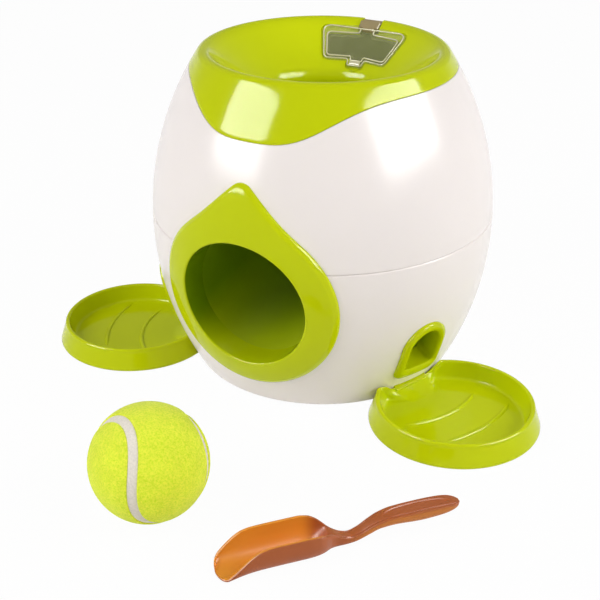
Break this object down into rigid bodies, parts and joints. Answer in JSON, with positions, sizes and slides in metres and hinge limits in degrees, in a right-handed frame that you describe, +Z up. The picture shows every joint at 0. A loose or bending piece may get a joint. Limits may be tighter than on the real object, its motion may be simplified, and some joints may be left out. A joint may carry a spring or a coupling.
{
  "type": "fetch ball and treat dispenser",
  "caption": "Egg-shaped fetch dispenser: a ball dropped in the top bowl turns a rotor and rolls out of the front port while treats fall into side trays; with tennis ball and scoop.",
  "frame": {"origin": "middle of the dispenser's base on the floor", "axes": "+Z up along the body's axis, -Y out of the ball port, +X to the right of a viewer who faces the port"},
  "size_m": [0.3372, 0.3527, 0.204],
  "materials": {
    "white_shell": "gloss",
    "white_base": "satin",
    "steel": "satin",
    "foot_rubber": "matte",
    "lime_gloss": "gloss",
    "lime_inner": "satin",
    "clear_lid": "clear gloss",
    "hopper_plastic": "satin",
    "rotor_plastic": "satin",
    "clip_plastic": "satin",
    "core_rubber": "matte",
    "ball_felt": "felt",
    "seam_rubber": "matte",
    "scoop_plastic": "semi-gloss"
  },
  "bodies": {
    "dispenser": {"upper_shell": "white_shell", "lower_shell": "white_shell", "base_plate": "white_base", "base_screws": "steel", "foot_pad": "foot_rubber", "top_bowl": "lime_gloss", "lid_pin": "steel", "port_bezel": "lime_gloss", "ball_ramp": "lime_inner", "treat_hopper": "hopper_plastic", "left_chute": "lime_inner", "right_chute": "lime_inner", "left_outlet": "lime_gloss", "right_outlet": "lime_gloss"},
    "lid": {"refill_lid": "clear_lid"},
    "rotor": {"rotor_shaft": "steel", "paddle_wheel": "rotor_plastic", "left_drum": "rotor_plastic", "right_drum": "rotor_plastic", "shaft_clips": "clip_plastic"},
    "left_tray": {"left_tray": "lime_gloss"},
    "right_tray": {"right_tray": "lime_gloss"},
    "ball": {"core_half_a": "core_rubber", "core_half_b": "core_rubber", "felt_panel_a": "ball_felt", "felt_panel_b": "ball_felt", "seam_band": "seam_rubber"},
    "scoop": {"scoop": "scoop_plastic"}
  },
  "joints": [
    {"name": "lid_hinge", "type": "hinge", "parent": "dispenser", "child": "lid", "pos_m": [0, 0.07308, 0.2002], "axis": [-1, 0, 0], "range_deg": [0, 110]},
    {"name": "rotor_spin", "type": "hinge", "parent": "dispenser", "child": "rotor", "pos_m": [0, 0.06, 0.106], "axis": [1, 0, 0], "continuous": true},
    {"name": "left_tray_pull", "type": "slide", "parent": "dispenser", "child": "left_tray", "axis": [-0.9164, -0.4004, 0], "range_m": [0, 0.06]},
    {"name": "right_tray_pull", "type": "slide", "parent": "dispenser", "child": "right_tray", "axis": [0.9164, -0.4004, 0], "range_m": [0, 0.06]},
    {"name": "ball_lift", "type": "slide", "parent": "dispenser", "child": "ball", "axis": [0, 0, 1], "range_m": [0, 0.2]},
    {"name": "scoop_lift", "type": "slide", "parent": "dispenser", "child": "scoop", "axis": [0, 0, 1], "range_m": [0, 0.15]}
  ]
}
